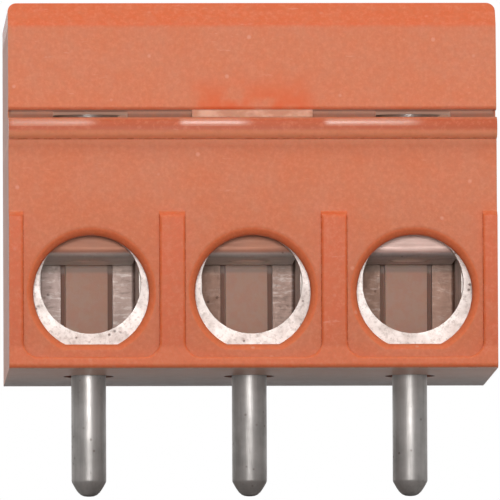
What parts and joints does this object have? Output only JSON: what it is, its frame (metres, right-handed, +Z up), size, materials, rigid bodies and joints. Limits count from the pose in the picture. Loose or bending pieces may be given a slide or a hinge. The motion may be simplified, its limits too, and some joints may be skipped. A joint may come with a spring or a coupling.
{
  "type": "pcb screw terminal",
  "caption": "Board-mounted screw terminal block with round wire entries, captive screws under a clipped cover and round solder pins.",
  "frame": {"origin": "where the axis of the middle solder pin meets the board, in the plane of the housing's underside", "axes": "+X along the row of poles, -Y out of the wire entries, +Z up, away from the board and towards the screwdriver"},
  "size_m": [0.0154, 0.0092, 0.0154],
  "materials": {
    "housing_plastic": "moulded polyamide, orange, fine matt texture with glossier ribs and bevels",
    "cage_tin": "sheet brass, bright tin plate with shear marks on the edges",
    "pin_tin": "turned brass, dull tin plate with fine drawing lines",
    "guard_tin": "strip, smooth bright tin plate",
    "screw_steel": "zinc-plated steel"
  },
  "bodies": {
    "housing": {"base_housing": "housing_plastic", "top_cover": "housing_plastic", "clamp_cage_1": "cage_tin", "clamp_cage_2": "cage_tin", "clamp_cage_3": "cage_tin", "solder_pin_1": "pin_tin", "solder_pin_2": "pin_tin", "solder_pin_3": "pin_tin"},
    "guard_1": {"wire_guard_1": "guard_tin"},
    "screw_1": {"clamp_screw_1": "screw_steel"},
    "guard_2": {"wire_guard_2": "guard_tin"},
    "screw_2": {"clamp_screw_2": "screw_steel"},
    "guard_3": {"wire_guard_3": "guard_tin"},
    "screw_3": {"clamp_screw_3": "screw_steel"}
  },
  "joints": [
    {"name": "clamp_travel_1", "type": "slide", "parent": "housing", "child": "guard_1", "axis": [0, 0, -1], "range_m": [0, 0.00225]},
    {"name": "screw_turn_1", "type": "hinge", "parent": "guard_1", "child": "screw_1", "pos_m": [-0.00508, 0, 0.009], "axis": [0, 0, -1], "range_deg": [0, 1800]},
    {"name": "clamp_travel_2", "type": "slide", "parent": "housing", "child": "guard_2", "axis": [0, 0, -1], "range_m": [0, 0.00225]},
    {"name": "screw_turn_2", "type": "hinge", "parent": "guard_2", "child": "screw_2", "pos_m": [0, 0, 0.009], "axis": [0, 0, -1], "range_deg": [0, 1800]},
    {"name": "clamp_travel_3", "type": "slide", "parent": "housing", "child": "guard_3", "axis": [0, 0, -1], "range_m": [0, 0.00225]},
    {"name": "screw_turn_3", "type": "hinge", "parent": "guard_3", "child": "screw_3", "pos_m": [0.00508, 0, 0.009], "axis": [0, 0, -1], "range_deg": [0, 1800]}
  ],
  "couplings": [
    {"joint": "screw_turn_1", "follows": "clamp_travel_1", "rad_per_m": 13963},
    {"joint": "screw_turn_2", "follows": "clamp_travel_2", "rad_per_m": 13963},
    {"joint": "screw_turn_3", "follows": "clamp_travel_3", "rad_per_m": 13963}
  ]
}
